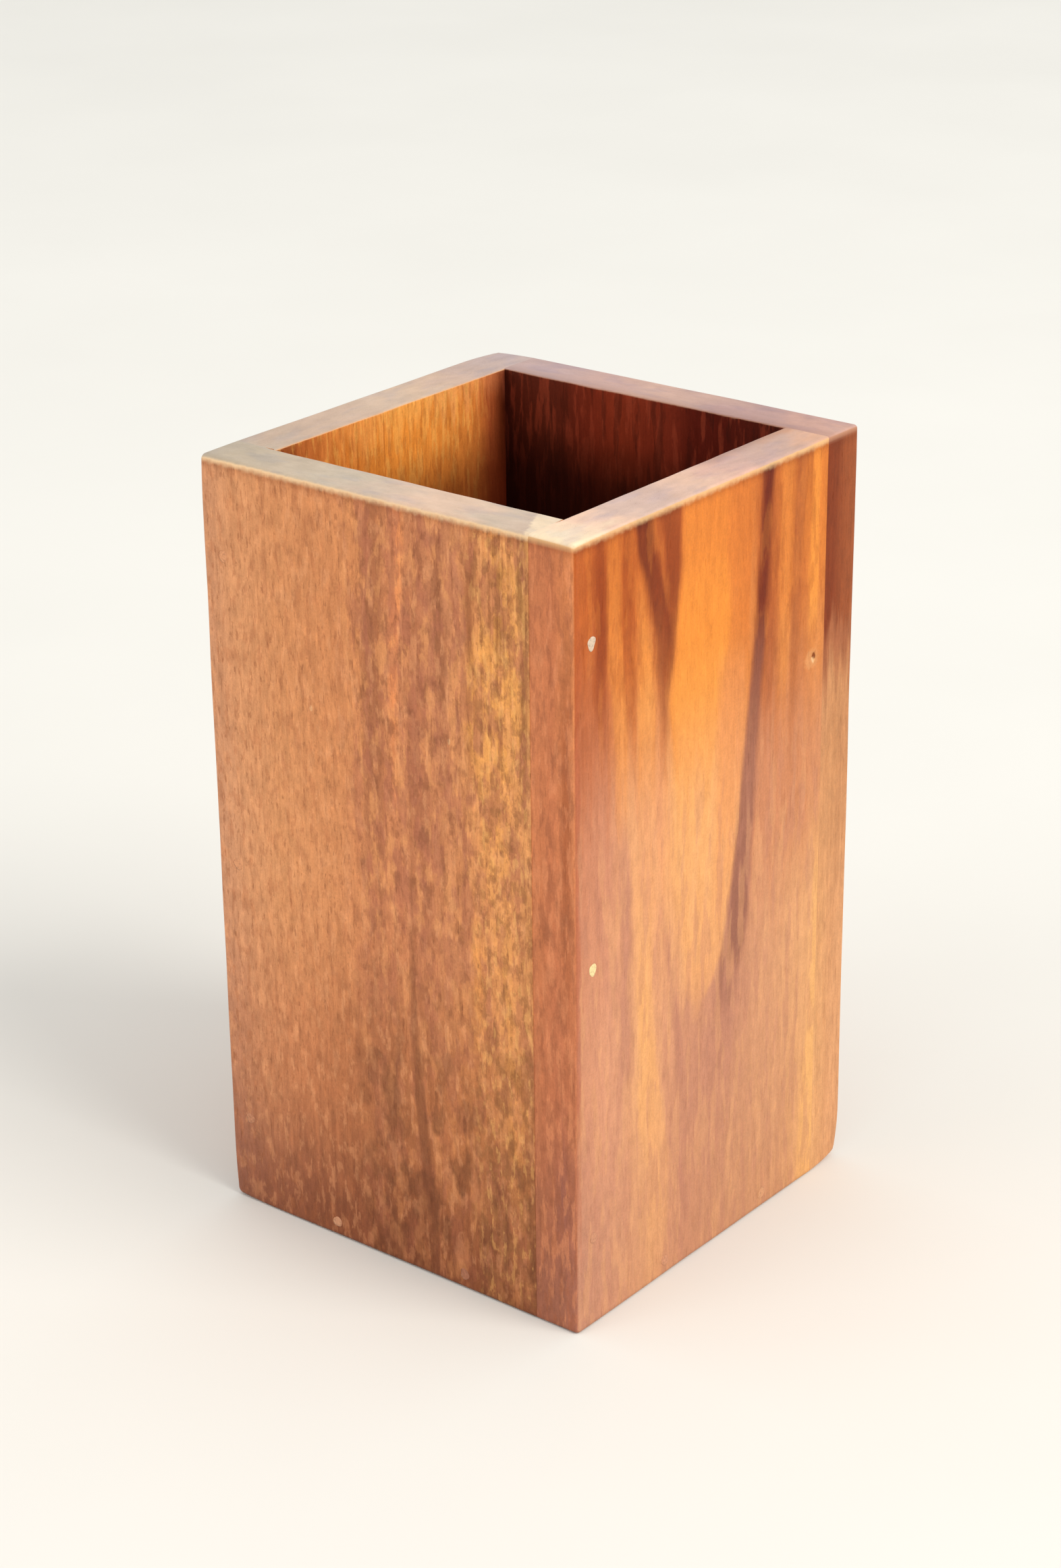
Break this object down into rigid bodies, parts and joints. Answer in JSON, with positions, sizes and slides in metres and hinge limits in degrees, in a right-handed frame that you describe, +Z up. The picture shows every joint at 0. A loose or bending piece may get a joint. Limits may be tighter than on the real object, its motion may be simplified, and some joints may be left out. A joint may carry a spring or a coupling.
{
  "type": "pen holder cup",
  "caption": "Square upright pen holder cup of hardwood boards butt-jointed round an inset base, glued and nailed, with one open square well for pens.",
  "frame": {"origin": "centre of the square footprint, on the surface that the cup stands on", "axes": "+Z up along the well; -Y out of the front board, whose right edge meets the end of the right board; +X out of the right board"},
  "size_m": [0.07, 0.07, 0.125],
  "materials": {
    "wood_front": "satin oil, streaked tan to purplish brown",
    "wood_right": "satin oil, golden orange cathedral figure",
    "wood_back": "satin oil, dark red-brown",
    "wood_left": "satin oil, golden brown, fine straight grain",
    "wood_base": "planed, lightly oiled",
    "nail_steel": "bright wire nail",
    "wood_filler": "matte pale wood filler"
  },
  "bodies": {
    "root": {"front_wall": "wood_front", "right_wall": "wood_right", "back_wall": "wood_back", "left_wall": "wood_left", "base": "wood_base", "brad_front_left_low": "nail_steel", "brad_front_left_middle": "nail_steel", "brad_front_left_high": "nail_steel", "brad_front_right_low": "nail_steel", "brad_front_right_middle": "nail_steel", "brad_front_right_high": "nail_steel", "brad_back_right_low": "nail_steel", "brad_back_right_middle": "nail_steel", "brad_back_right_high": "nail_steel", "brad_back_left_low": "nail_steel", "brad_back_left_middle": "nail_steel", "brad_back_left_high": "nail_steel", "brad_base_front_a": "nail_steel", "brad_base_front_b": "nail_steel", "brad_base_right_a": "nail_steel", "brad_base_right_b": "nail_steel", "brad_base_back_a": "nail_steel", "brad_base_back_b": "nail_steel", "brad_base_left_a": "nail_steel", "brad_base_left_b": "nail_steel", "filler_front_left_low": "wood_filler", "filler_front_left_middle": "wood_filler", "filler_front_left_high": "wood_filler", "filler_front_right_low": "wood_filler", "filler_front_right_middle": "wood_filler", "filler_front_right_high": "wood_filler", "filler_back_right_low": "wood_filler", "filler_back_right_middle": "wood_filler", "filler_back_right_high": "wood_filler", "filler_back_left_low": "wood_filler", "filler_back_left_middle": "wood_filler", "filler_back_left_high": "wood_filler", "filler_base_front_a": "wood_filler", "filler_base_front_b": "wood_filler", "filler_base_right_a": "wood_filler", "filler_base_right_b": "wood_filler", "filler_base_back_a": "wood_filler", "filler_base_back_b": "wood_filler", "filler_base_left_a": "wood_filler", "filler_base_left_b": "wood_filler"}
  },
  "joints": []
}
